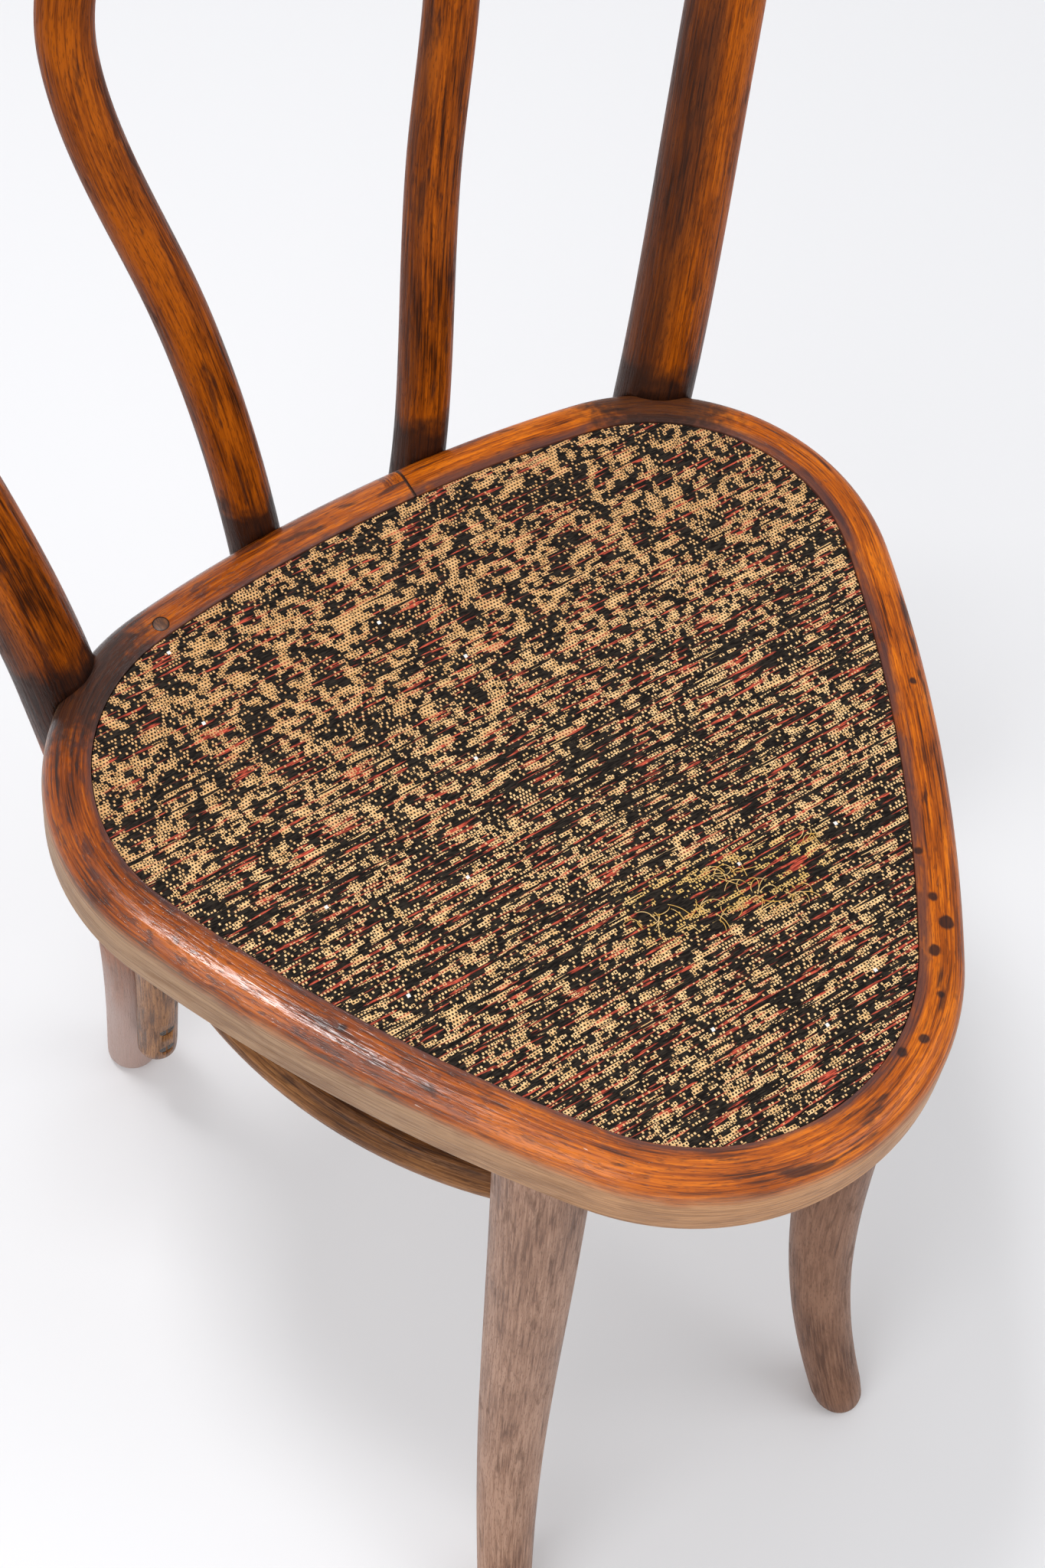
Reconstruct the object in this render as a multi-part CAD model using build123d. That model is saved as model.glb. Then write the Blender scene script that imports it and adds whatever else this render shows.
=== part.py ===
# Bentwood side chair with a rounded three-sided seat, its apex to the front.
# Millimetres, +Z up from the floor, the front towards -Y, the sitter's left towards +X.
from build123d import *

import os
from math import asin, atan2, cos, degrees, radians, sin, sqrt

# Seat ring: its mouth is six tangent arcs, and its outer side runs parallel to the mouth.
seat_height = 465.0
mouth_front_radius = 95.0
mouth_rear_radius = 81.0
mouth_side_radius = 720.0
mouth_back_radius = 650.0
front_corner_y = -100.0
rear_corner_x = 95.5
rear_corner_y = 49.0
ring_top_width = 20.5
ring_height = 34.0
ring_round = 9.0
ring_under_round = 3.0
mouth_round = 2.0
ledge_width = 16.0

# Panel: cover, felt and board lie in the ring's rebate, the cover a little below the ring's top.
cover_drop = 0.8
cover_thickness = 1.4
cover_edge_round = 1.2
cover_turn_under = 27.0
felt_thickness = 2.5
board_thickness = 8.0
panel_gap = 0.4
layer_gap = 0.2

# Back bow: foot, seat notch, shoulder and crown of one bent rod. The crown's arch is round.
bow_foot_diameter = 27.0
bow_seat_diameter = 35.0
bow_shoulder_diameter = 33.4
bow_crown_diameter = 29.0
bow_angle = 58.0
bow_standoff = 6.0
rear_foot_in = 43.5
rear_foot_back = 34.0
shoulder_rise = 170.0
shoulder_out = 41.5
shoulder_back = 45.0
crown_rise = 412.0
crown_back = 121.0
foot_round = 8.0

# Inner loop: two ends behind the ring, a lyre-shaped waist and a round top.
loop_end_diameter = 24.0
loop_crown_diameter = 22.5
loop_end_x = 40.5
loop_standoff = 6.5
loop_waist_rise = 129.0
loop_waist_out = 23.5
loop_waist_back = 37.5
loop_widest_rise = 235.0
loop_widest_out = 44.5
loop_widest_back = 69.0
loop_lean = 0.30
loop_end_round = 2.5

# Front legs: sabre legs with a turned tenon in the ring.
leg_top_diameter = 42.0
leg_foot_diameter = 26.0
leg_x = 89.0
leg_inset = 1.0
leg_foot_out = 17.0
leg_foot_forward = 57.0
tenon_diameter = 18.0
tenon_length = 16.0

# Stretcher bow: level inside the front legs, its ends turned down along the rear legs.
stretcher_diameter = 21.0
stretcher_drop = 129.0
stretcher_centre_y = -30.0
stretcher_front_angle = 47.5
stretcher_side_radius = 221.0
stretcher_bend = 65.0
stretcher_end_height = 69.0
stretcher_end_round = 7.0
stretcher_end_gap = 0.5
stretcher_bend_gap = 2.5

# Fits and fasteners.
contact_gap = 0.3
hole_gap = 0.15
bolt_diameter = 6.0
bolt_head_diameter = 15.0
bolt_head_height = 3.5
washer_diameter = 15.0
washer_thickness = 1.2
nut_across_flats = 10.0
nut_thickness = 5.0
bolt_spare = 2.5
screw_diameter = 4.5
screw_head_diameter = 8.5
screw_point = 5.0
slot_width = 1.1
slot_depth = 1.2
loop_screw_bite = 22.0
stretcher_screw_bite = 16.0
rear_screw_first = 17.0
rear_screw_pitch = 28.0
rear_screw_bite = 10.0
board_screw_bite = 5.5
tack_diameter = 1.6
tack_head_diameter = 6.0
tack_head_height = 1.0
tack_length = 7.0
tack_pitch = 34.0
plug_diameter = 7.0
plug_length = 6.0
plug_angle = 97.0
plug_from_mouth = 6.0

# Heights that follow from the sizes above.
ring_bottom = seat_height - ring_height
cover_top = seat_height - cover_drop
felt_top = cover_top - cover_thickness
board_top = felt_top - felt_thickness
board_bottom = board_top - board_thickness
ledge_top = board_bottom - cover_thickness
ledge_middle = (ring_bottom + ledge_top) / 2
stretcher_height = seat_height - stretcher_drop

# Arc centres of the mouth: the side arcs touch the front and rear corners from inside.
front_centre = Vector(0, front_corner_y)
rear_centre = Vector(rear_corner_x, rear_corner_y)
corner_way = (rear_centre - front_centre).normalized()
corner_span = (rear_centre - front_centre).length
front_reach = mouth_side_radius - mouth_front_radius
rear_reach = mouth_side_radius - mouth_rear_radius
along_span = (front_reach**2 - rear_reach**2 + corner_span**2) / (2 * corner_span)
off_span = sqrt(front_reach**2 - along_span**2)
side_centre = front_centre + corner_way * along_span + Vector(-corner_way.Y, corner_way.X) * off_span
back_reach = mouth_back_radius - mouth_rear_radius
back_centre = Vector(0, rear_corner_y - sqrt(back_reach**2 - rear_corner_x**2))


def heading(way):
    return degrees(atan2(way.Y, way.X))


def on_circle(centre, radius, angle):
    return Vector(centre.X + radius * cos(radians(angle)), centre.Y + radius * sin(radians(angle)))


side_start = heading(front_centre - side_centre)
side_end = heading(rear_centre - side_centre)
back_start = heading(rear_centre - back_centre)


def seat_arcs(grow):
    """The six arcs of the mouth, grown outwards, anticlockwise from the left of the front corner."""
    left_rear_centre = (-rear_centre.X, rear_centre.Y)
    left_side_centre = (-side_centre.X, side_centre.Y)
    side_sweep = side_end - side_start
    rear_sweep = back_start - side_end
    return [
        CenterArc((0, front_corner_y), mouth_front_radius + grow, -180 - side_start, 180 + 2 * side_start),
        CenterArc((side_centre.X, side_centre.Y), mouth_side_radius + grow, side_start, side_sweep),
        CenterArc((rear_centre.X, rear_centre.Y), mouth_rear_radius + grow, side_end, rear_sweep),
        CenterArc((0, back_centre.Y), mouth_back_radius + grow, back_start, 180 - 2 * back_start),
        CenterArc(left_rear_centre, mouth_rear_radius + grow, 180 - back_start, rear_sweep),
        CenterArc(left_side_centre, mouth_side_radius + grow, 180 - side_end, side_sweep),
    ]


def seat_plate(grow, low, high):
    return Pos(0, 0, low) * extrude(make_face(seat_arcs(grow)), amount=high - low)


def ring_blank(grow):
    """The ring's outer form before its inside is cut: rounded on top, eased below."""
    blank = seat_plate(grow, ring_bottom, seat_height)
    blank = fillet(blank.edges().group_by(Axis.Z)[-1], ring_round)
    return fillet(blank.edges().group_by(Axis.Z)[0], ring_under_round)


# Bent rods: a route is made of edges, and the rod is lofted through round sections along it.
def bend(start, start_way, end, end_way, start_pull, end_pull):
    return Bezier(start, start + start_way * start_pull, end - end_way * end_pull, end)


def stops(edge, first_diameter, last_diameter, count, start=0.0):
    """Sections along an edge, from a share of it up to its last point: place, direction, diameter."""
    shares = [start + (1 - start) * step / count for step in range(count)]
    return [(edge @ u, edge % u, first_diameter + (last_diameter - first_diameter) * u) for u in shares]


def last_stop(edge, diameter):
    return (edge @ 1, edge % 1, diameter)


def carried_on(stop, distance):
    """A section straight beyond the last one, so that the end can be cut off level."""
    place, way, diameter = stop
    return (place + way * distance, way, diameter)


def both_sides(right):
    """A route from the right-hand end to the middle, carried on to its mirror image."""
    left = [(Vector(-p.X, p.Y, p.Z), Vector(w.X, -w.Y, -w.Z), d) for p, w, d in reversed(right[:-1])]
    return right + left


def bent_rod(sections):
    across = Vector(0, 1, 0)
    rounds = []
    for place, way, diameter in sections:
        across = (across - way * across.dot(way)).normalized()
        rounds.append(Plane(origin=place, x_dir=across, z_dir=way) * Circle(diameter / 2))
    return loft(rounds)


def mirrored(shape):
    return mirror(shape, about=Plane.YZ)


def below(height):
    reach = 4 * seat_height
    return Pos(0, 0, height - reach / 2) * Box(reach, reach, reach)


def above(height):
    reach = 4 * seat_height
    return Pos(0, 0, height + reach / 2) * Box(reach, reach, reach)


def rounded_end(stop, height, rim):
    """A straight stub from the first section down to a height, cut level there with a rounded rim."""
    place, way, diameter = stop
    stub = extrude(Plane(origin=place, z_dir=way) * Circle(diameter / 2), amount=-4 * diameter)
    stub -= below(height)
    return fillet(stub.edges().group_by(Axis.Z)[0], rim)


def at_height(edge, height):
    """How far along a rising edge it reaches a height, found by halving."""
    low, high = 0.0, 1.0
    for _ in range(40):
        middle = (low + high) / 2
        if (edge @ middle).Z < height:
            low = middle
        else:
            high = middle
    return low


# Back bow route, right side: rear leg, post and half of the arch.
bow_reach = mouth_rear_radius + ring_top_width + bow_standoff
bow_plan = on_circle(rear_centre, bow_reach, bow_angle)
ring_middle = seat_height - ring_height / 2
bow_seat = Vector(bow_plan.X, bow_plan.Y, ring_middle)
bow_foot = Vector(bow_plan.X - rear_foot_in, bow_plan.Y + rear_foot_back, 0)
bow_shoulder = Vector(bow_plan.X + shoulder_out, bow_plan.Y + shoulder_back, seat_height + shoulder_rise)
bow_crown = Vector(0, bow_plan.Y + crown_back, seat_height + crown_rise)
bow_far_shoulder = Vector(-bow_shoulder.X, bow_shoulder.Y, bow_shoulder.Z)
bow_arch = ThreePointArc(bow_shoulder, bow_crown, bow_far_shoulder)
foot_way = Vector(0.023, -0.104, 1).normalized()
seat_way = Vector(0.14, 0.10, 1).normalized()
leg_pull = bow_seat.Z / 3
post_pull = (bow_shoulder.Z - bow_seat.Z) / 3
rear_leg_route = bend(bow_foot, foot_way, bow_seat, seat_way, leg_pull, leg_pull)
post_route = bend(bow_seat, seat_way, bow_shoulder, bow_arch % 0, post_pull, post_pull)
arch_route = bow_arch.trim(0, 0.5)

bow_start = at_height(rear_leg_route, 2 * foot_round)
bow_stops = stops(rear_leg_route, bow_foot_diameter, bow_seat_diameter, 8, bow_start)
bow_stops += stops(post_route, bow_seat_diameter, bow_shoulder_diameter, 5)
bow_stops += stops(arch_route, bow_shoulder_diameter, bow_crown_diameter, 8)
bow_stops.append(last_stop(arch_route, bow_crown_diameter))
rear_foot = rounded_end(bow_stops[0], 0, foot_round)
back_bow = bent_rod(both_sides(bow_stops)) + [rear_foot, mirrored(rear_foot)]
notch = ring_blank(ring_top_width + contact_gap)
back_bow -= notch

# Inner loop route, right side: from the end behind the ring to the crown.
loop_face_y = back_centre.Y + sqrt((mouth_back_radius + ring_top_width) ** 2 - loop_end_x**2)
loop_end = Vector(loop_end_x, loop_face_y + loop_standoff, ring_bottom)
loop_waist = loop_end + Vector(loop_waist_out, loop_waist_back, loop_waist_rise + ring_height)
loop_widest = loop_end + Vector(loop_widest_out, loop_widest_back, loop_widest_rise + ring_height)
lean_way = Vector(0, loop_lean, 1).normalized()
loop_crown = Vector(0, loop_widest.Y, loop_widest.Z) + lean_way * loop_widest.X
loop_arch = ThreePointArc(loop_widest, loop_crown, Vector(-loop_widest.X, loop_widest.Y, loop_widest.Z))
end_way = Vector(0.12, 0.06, 1).normalized()
waist_way = Vector(0.24, 0.33, 1).normalized()
end_pull = (loop_waist.Z - loop_end.Z) / 3
waist_pull = (loop_widest.Z - loop_waist.Z) / 3
loop_low_route = bend(loop_end, end_way, loop_waist, waist_way, end_pull, end_pull)
loop_high_route = bend(loop_waist, waist_way, loop_widest, loop_arch % 0, waist_pull, waist_pull)
loop_top_route = loop_arch.trim(0, 0.5)

loop_middle_diameter = (loop_end_diameter + loop_crown_diameter) / 2
loop_start = at_height(loop_low_route, ring_bottom + loop_end_diameter)
loop_stops = stops(loop_low_route, loop_end_diameter, loop_middle_diameter, 5, loop_start)
loop_stops += stops(loop_high_route, loop_middle_diameter, loop_crown_diameter, 4)
loop_stops += stops(loop_top_route, loop_crown_diameter, loop_crown_diameter, 6)
loop_stops.append(last_stop(loop_top_route, loop_crown_diameter))
loop_foot = rounded_end(loop_stops[0], ring_bottom, loop_end_round)
inner_loop = bent_rod(both_sides(loop_stops)) + [loop_foot, mirrored(loop_foot)]
inner_loop -= notch

# Front leg, left side of the sitter: its outer face keeps just inside the ring.
leg_reach = mouth_side_radius + ring_top_width - leg_inset - leg_top_diameter / 2
leg_y = side_centre.Y - sqrt(leg_reach**2 - (leg_x - side_centre.X) ** 2)
leg_top = Vector(leg_x, leg_y, ring_bottom)
leg_foot = Vector(leg_x + leg_foot_out, leg_y - leg_foot_forward, 0)
leg_foot_way = Vector(-0.153, 0.371, 1).normalized()
leg_top_way = Vector(0, 0.076, 1).normalized()
leg_route = bend(leg_foot, leg_foot_way, leg_top, leg_top_way, ring_bottom / 3, ring_bottom * 0.46)

leg_start = at_height(leg_route, 2 * foot_round)
leg_stops = stops(leg_route, leg_foot_diameter, leg_top_diameter, 9, leg_start)
leg_stops.append(last_stop(leg_route, leg_top_diameter))
leg_stops.append(carried_on(leg_stops[-1], tenon_length))
front_leg = bent_rod(leg_stops) - above(ring_bottom)
front_leg += rounded_end(leg_stops[0], 0, foot_round)
tenon_place = Pos(leg_top.X, leg_top.Y, ring_bottom + tenon_length / 2)
front_leg += tenon_place * Cylinder(tenon_diameter / 2, tenon_length)

# Stretcher bow route, right side: lower end, bend, side and half of the front.
stretcher_radius = stretcher_diameter / 2
leg_share = at_height(leg_route, stretcher_height)
leg_there = leg_route @ leg_share
leg_radius_there = (leg_foot_diameter + (leg_top_diameter - leg_foot_diameter) * leg_share) / 2
stretcher_centre = Vector(0, stretcher_centre_y)
leg_distance = (Vector(leg_there.X, leg_there.Y) - stretcher_centre).length
stretcher_front_radius = leg_distance - leg_radius_there - stretcher_radius - contact_gap


def against_rear_leg(height, gap):
    """The stretcher's axis where it lies in front of the rear leg at a height."""
    share = at_height(rear_leg_route, height)
    leg_radius = (bow_foot_diameter + (bow_seat_diameter - bow_foot_diameter) * share) / 2
    leg_axis = rear_leg_route % share
    forward = Vector(0, -1, 0)
    forward = (forward - leg_axis * forward.dot(leg_axis)).normalized()
    return rear_leg_route @ share + forward * (leg_radius + stretcher_radius + gap)


front_side_corner = on_circle(stretcher_centre, stretcher_front_radius, stretcher_front_angle - 90)
side_arc_centre = on_circle(front_side_corner, stretcher_side_radius, stretcher_front_angle + 90)
side_back = Vector(side_arc_centre.X + stretcher_side_radius, side_arc_centre.Y, stretcher_height)
bend_end = against_rear_leg(stretcher_height - stretcher_bend, stretcher_bend_gap)
run_end = against_rear_leg(stretcher_end_height, stretcher_end_gap)
run_top = against_rear_leg(stretcher_end_height + 2 * rear_screw_first + rear_screw_pitch, stretcher_end_gap)
back_way = Vector(0, 1, 0)
run_route = Line(run_end, run_top)
run_way = run_route % 0
rise_way = rear_leg_route % at_height(rear_leg_route, stretcher_height - stretcher_bend)
rise_pull = (bend_end - run_top).length / 3
bend_pull = stretcher_bend * 0.55
rise_route = bend(run_top, run_way, bend_end, rise_way, rise_pull, rise_pull)
bend_route = bend(bend_end, rise_way, side_back, -back_way, bend_pull, bend_pull)


def level_bend(centre, start, angle):
    """A round rod bent level and clockwise about a centre, from a place on its axis."""
    outwards = (Vector(start.X, start.Y) - centre).normalized()
    across = Plane(origin=start, x_dir=outwards, z_dir=Vector(-outwards.Y, outwards.X, 0))
    section = across * Circle(stretcher_radius)
    return revolve(section, Axis((centre.X, centre.Y, stretcher_height), (0, 0, -1)), angle)


rod = stretcher_diameter
stretcher_stops = stops(rise_route, rod, rod, 8) + stops(bend_route, rod, rod, 6)
stretcher_stops.append(last_stop(bend_route, rod))
stretcher_turn = bent_rod(stretcher_stops)
stretcher_end = rounded_end(stretcher_stops[0], stretcher_end_height, stretcher_end_round)
front_start = Vector(front_side_corner.X, front_side_corner.Y, stretcher_height)
stretcher_side = level_bend(side_arc_centre, side_back, 90 - stretcher_front_angle)
stretcher_front = level_bend(stretcher_centre, front_start, 2 * stretcher_front_angle)

# Seat ring: the blank with its mouth, its ledge and the two sockets for the leg tenons.
seat_ring = ring_blank(ring_top_width) - seat_plate(0, ledge_top, seat_height)
seat_ring -= seat_plate(-ledge_width, ring_bottom, ledge_top)
seat_ring = fillet(seat_ring.faces().sort_by(Axis.Z)[-1].inner_wires()[0].edges(), mouth_round)
socket_depth = tenon_length + contact_gap
socket = Cylinder(tenon_diameter / 2 + hole_gap, socket_depth)
for side in (-1, 1):
    seat_ring -= Pos(side * leg_top.X, leg_top.Y, ring_bottom + socket_depth / 2) * socket

# Panel layers: the cover wraps the felt and the board and is turned under the board's edge.
board_inset = panel_gap + cover_thickness + layer_gap
seat_board = seat_plate(-board_inset, board_bottom, board_top)
seat_felt = seat_plate(-board_inset, board_top, felt_top)
seat_felt = fillet(seat_felt.edges().group_by(Axis.Z)[-1], cover_edge_round)
seat_cover = seat_plate(-panel_gap, ledge_top, cover_top)
seat_cover = fillet(seat_cover.edges().group_by(Axis.Z)[-1], cover_edge_round)
seat_cover -= seat_plate(layer_gap - board_inset, board_bottom, felt_top)
seat_cover -= seat_plate(-cover_turn_under, ledge_top, board_bottom)


# Fasteners: each is modelled head up along +Z, its head's rim at the origin.
def wood_screw(length, extra):
    """A flat-headed wood screw, or with extra the hole that clears it."""
    head = screw_head_diameter / 2 + extra
    shank = screw_diameter / 2 + extra
    tip = length + extra
    outline = Polyline(
        (0, 0), (head, 0), (shank, shank - head), (shank, screw_point - tip), (0, -tip), close=True
    )
    return revolve(Plane.XZ * make_face(outline), Axis.Z)


def slotted_screw(length):
    return wood_screw(length, 0) - Box(2 * screw_head_diameter, slot_width, 2 * slot_depth)


def screw_hole(length):
    head = screw_head_diameter / 2 + hole_gap
    sink = Pos(0, 0, screw_head_diameter / 2) * Cylinder(head, screw_head_diameter)
    return wood_screw(length, hole_gap) + sink


def facing(place, way):
    return Plane(origin=place, z_dir=way).location


# Frame bolts: through each post and the ring, along the ring's own normal there.
bolt_share = at_height(rear_leg_route, ledge_middle)
post_there = rear_leg_route @ bolt_share
bolt_way = (Vector(post_there.X, post_there.Y) - rear_centre).normalized()
post_radius = (bow_foot_diameter + (bow_seat_diameter - bow_foot_diameter) * bolt_share) / 2
head_sink = post_radius - sqrt(post_radius**2 - (bolt_head_diameter / 2 + hole_gap) ** 2)
head_seat = post_there + bolt_way * (post_radius - head_sink)
inner_wall = mouth_rear_radius - ledge_width
washer_sink = inner_wall - sqrt(inner_wall**2 - (washer_diameter / 2) ** 2)
washer_reach = inner_wall - washer_sink
washer_plan = rear_centre + bolt_way * washer_reach
washer_face = Vector(washer_plan.X, washer_plan.Y, ledge_middle)
bolt_length = (head_seat - washer_face).length + washer_thickness + nut_thickness + bolt_spare
bolt_at = facing(head_seat, bolt_way)
bolt_radius = bolt_diameter / 2
dome_radius = (bolt_head_diameter**2 / 4 + bolt_head_height**2) / (2 * bolt_head_height)
dome_angle = degrees(asin(bolt_head_diameter / 2 / dome_radius))
dome_centre = (0, bolt_head_height - dome_radius)
dome = CenterArc(dome_centre, dome_radius, 90, -dome_angle)
bolt_outline = [
    dome,
    Line(dome @ 1, (bolt_radius, 0)),
    Line((bolt_radius, 0), (bolt_radius, -bolt_length)),
    Line((bolt_radius, -bolt_length), (0, -bolt_length)),
    Line((0, -bolt_length), dome @ 0),
]
frame_bolt = bolt_at * revolve(Plane.XZ * make_face(bolt_outline), Axis.Z)
bolt_bore = Pos(0, 0, -bolt_length / 2) * Cylinder(bolt_radius + hole_gap, bolt_length)
head_spot = Pos(0, 0, bolt_head_diameter / 2) * Cylinder(bolt_head_diameter / 2 + hole_gap, bolt_head_diameter)
bolt_hole = bolt_at * (bolt_bore + head_spot)
washer_at = facing(washer_face, -bolt_way)
washer_bore = Cylinder(bolt_radius + hole_gap, washer_thickness)
washer_shape = Cylinder(washer_diameter / 2, washer_thickness) - washer_bore
frame_washer = washer_at * Pos(0, 0, washer_thickness / 2) * washer_shape
nut_face = RegularPolygon(nut_across_flats / 2, 4, major_radius=False) - Circle(bolt_radius + hole_gap)
frame_nut = washer_at * Pos(0, 0, washer_thickness) * extrude(nut_face, amount=nut_thickness)

# Loop screws: from behind, through each end of the loop into the ring.
loop_screw_share = at_height(loop_low_route, ledge_middle)
loop_there = loop_low_route @ loop_screw_share
loop_radius = loop_end_diameter / 2
screw_sink = loop_radius - sqrt(loop_radius**2 - (screw_head_diameter / 2) ** 2)
loop_head = loop_there + back_way * (loop_radius - screw_sink)
loop_screw_length = loop_head.Y - loop_face_y + loop_screw_bite
loop_screw = facing(loop_head, back_way) * slotted_screw(loop_screw_length)
loop_screw_hole = facing(loop_head, back_way) * screw_hole(loop_screw_length)

# Stretcher screws: one into each front leg from inside, two into each rear leg from the front.
stretcher_sink = stretcher_radius - sqrt(stretcher_radius**2 - (screw_head_diameter / 2) ** 2)
leg_way = (Vector(leg_there.X, leg_there.Y) - stretcher_centre).normalized()
stretcher_touch = stretcher_centre + leg_way * stretcher_front_radius
front_head_plan = stretcher_touch - leg_way * (stretcher_radius - stretcher_sink)
front_head = Vector(front_head_plan.X, front_head_plan.Y, stretcher_height)
front_screw_length = stretcher_diameter - stretcher_sink + stretcher_screw_bite
front_screw = facing(front_head, -leg_way) * slotted_screw(front_screw_length)
front_screw_hole = facing(front_head, -leg_way) * screw_hole(front_screw_length)

rear_screws = []
rear_screw_holes = []
rear_screw_length = stretcher_diameter - stretcher_sink + rear_screw_bite
for number in range(2):
    rise = rear_screw_first + number * rear_screw_pitch
    axis_there = run_route @ at_height(run_route, stretcher_end_height + rise)
    head_there = axis_there - back_way * (stretcher_radius - stretcher_sink)
    rear_screws.append(facing(head_there, -back_way) * slotted_screw(rear_screw_length))
    rear_screw_holes.append(facing(head_there, -back_way) * screw_hole(rear_screw_length))

# Board screws: up through the middle of the ledge, at the front, the sides and the back.
ledge_line = seat_arcs(-ledge_width / 2)
board_screw_length = board_bottom - ring_bottom + board_screw_bite
board_screws = []
board_screw_holes = []
for arc in (ledge_line[0], ledge_line[1], ledge_line[3], ledge_line[5]):
    spot = arc @ 0.5
    place = facing(Vector(spot.X, spot.Y, ring_bottom), Vector(0, 0, -1))
    board_screws.append(place * slotted_screw(board_screw_length))
    board_screw_holes.append(place * screw_hole(board_screw_length))

# Cover tacks: a row round the turned-under margin, clear of the ledge.
tack_line = Wire(seat_arcs(-(ledge_width + cover_turn_under) / 2))
tack_count = int(tack_line.length / tack_pitch)
tack_head = Pos(0, 0, -tack_head_height / 2) * Cylinder(tack_head_diameter / 2, tack_head_height)
tack_shank = Pos(0, 0, tack_length / 2) * Cylinder(tack_diameter / 2, tack_length)
tack_bore = Pos(0, 0, tack_length / 2) * Cylinder(tack_diameter / 2 + hole_gap, tack_length + 2 * hole_gap)
cover_tacks = []
tack_holes = []
for number in range(tack_count):
    spot = tack_line @ (number / tack_count)
    place = Pos(spot.X, spot.Y, ledge_top)
    cover_tacks.append(place * (tack_head + tack_shank))
    tack_holes.append(place * tack_bore)

# Ring plug: a wooden plug let into the ring's top beside the sitter's right post.
plug_spot = on_circle(Vector(-rear_corner_x, rear_corner_y), mouth_rear_radius + plug_from_mouth, plug_angle)
plug_place = Pos(plug_spot.X, plug_spot.Y, seat_height - plug_length / 2)
ring_plug = plug_place * Cylinder(plug_diameter / 2, plug_length)

# Holes.
seat_ring -= [bolt_hole, mirrored(bolt_hole), loop_screw_hole, mirrored(loop_screw_hole)] + board_screw_holes
seat_ring -= plug_place * Cylinder(plug_diameter / 2 + hole_gap, plug_length)
back_bow -= [bolt_hole, mirrored(bolt_hole)]
back_bow -= rear_screw_holes + [mirrored(hole) for hole in rear_screw_holes]
inner_loop -= [loop_screw_hole, mirrored(loop_screw_hole)]
front_leg -= front_screw_hole
stretcher_front -= [front_screw_hole, mirrored(front_screw_hole)]
stretcher_end -= rear_screw_holes
stretcher_half = [stretcher_side, stretcher_turn, stretcher_end]
stretcher_bow = stretcher_front + stretcher_half + [mirrored(shape) for shape in stretcher_half]
seat_board -= board_screw_holes + tack_holes
seat_cover -= board_screw_holes + tack_holes


def group(shapes):
    return Compound([shape.solid() for shape in shapes])


pieces = {
    "seat_ring": seat_ring,
    "seat_board": seat_board,
    "seat_felt": seat_felt,
    "seat_cover": seat_cover,
    "back_bow": back_bow,
    "inner_loop": inner_loop,
    "front_leg_left": front_leg,
    "front_leg_right": mirrored(front_leg),
    "stretcher_bow": stretcher_bow,
    "frame_bolts": group([frame_bolt, mirrored(frame_bolt)]),
    "frame_washers": group([frame_washer, mirrored(frame_washer)]),
    "frame_nuts": group([frame_nut, mirrored(frame_nut)]),
    "loop_screws": group([loop_screw, mirrored(loop_screw)]),
    "stretcher_front_screws": group([front_screw, mirrored(front_screw)]),
    "stretcher_rear_screws": group(rear_screws + [mirrored(screw) for screw in rear_screws]),
    "board_screws": group(board_screws),
    "cover_tacks": group(cover_tacks),
    "ring_plug": ring_plug,
}

# The origin is on the floor under the middle of the chair's box.
boxes = [piece.bounding_box() for piece in pieces.values()]
middle_y = (min(box.min.Y for box in boxes) + max(box.max.Y for box in boxes)) / 2
os.makedirs("parts", exist_ok=True)
for node, piece in pieces.items():
    export_step(Pos(0, -middle_y, 0) * piece, f"parts/{node}.step")
print(f"middle of the chair's depth from the seat's own centre: {middle_y:.2f} mm")
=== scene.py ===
# Bentwood side chair with a tapestry seat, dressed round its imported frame. Metres, +Z up from the floor,
# the front of the seat towards -Y, the sitter's left towards +X.
from math import atan2, cos, pi, radians, sin, sqrt
from random import Random

import bmesh
import bpy
from mathutils import Matrix, Vector
from mathutils.geometry import interpolate_bezier


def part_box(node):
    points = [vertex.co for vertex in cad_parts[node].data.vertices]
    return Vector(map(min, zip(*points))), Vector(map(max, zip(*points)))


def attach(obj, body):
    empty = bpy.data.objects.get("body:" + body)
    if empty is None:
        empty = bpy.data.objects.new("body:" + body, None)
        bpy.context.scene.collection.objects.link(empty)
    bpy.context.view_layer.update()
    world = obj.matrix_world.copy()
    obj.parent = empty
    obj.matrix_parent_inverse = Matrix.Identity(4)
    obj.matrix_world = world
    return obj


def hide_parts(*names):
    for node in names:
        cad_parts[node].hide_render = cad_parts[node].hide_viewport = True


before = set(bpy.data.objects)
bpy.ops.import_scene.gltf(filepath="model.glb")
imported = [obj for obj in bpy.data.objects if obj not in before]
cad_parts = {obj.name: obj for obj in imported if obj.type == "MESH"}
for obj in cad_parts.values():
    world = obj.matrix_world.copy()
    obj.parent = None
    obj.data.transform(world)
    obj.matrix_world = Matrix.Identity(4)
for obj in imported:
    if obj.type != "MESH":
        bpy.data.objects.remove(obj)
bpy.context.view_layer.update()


# Seat ring: a beech bar, steamed, bent round three corners and closed by a scarf joint at the back.
# Its top edge is rounded over and shellacked, its upright side has lost its gloss, and a rebate inside
# carries the panel. The front legs stand under it, and both back rods are fixed to it.
seat_top = 0.465
ring_under = 0.431
ledge_top = 0.4509
ring_width = 0.0205
ledge_width = 0.016
scarf_x, scarf_gap = 0.0232, 0.0004
seat_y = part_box("seat_ring")[0].y + 0.2155
front_centre, front_radius = Vector((0, seat_y - 0.100)), 0.095
rear_centre, rear_radius = Vector((0.0955, seat_y + 0.049)), 0.081
side_radius, back_radius = 0.720, 0.650
corner_line = rear_centre - front_centre
front_reach, rear_reach = side_radius - front_radius, side_radius - rear_radius
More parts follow.
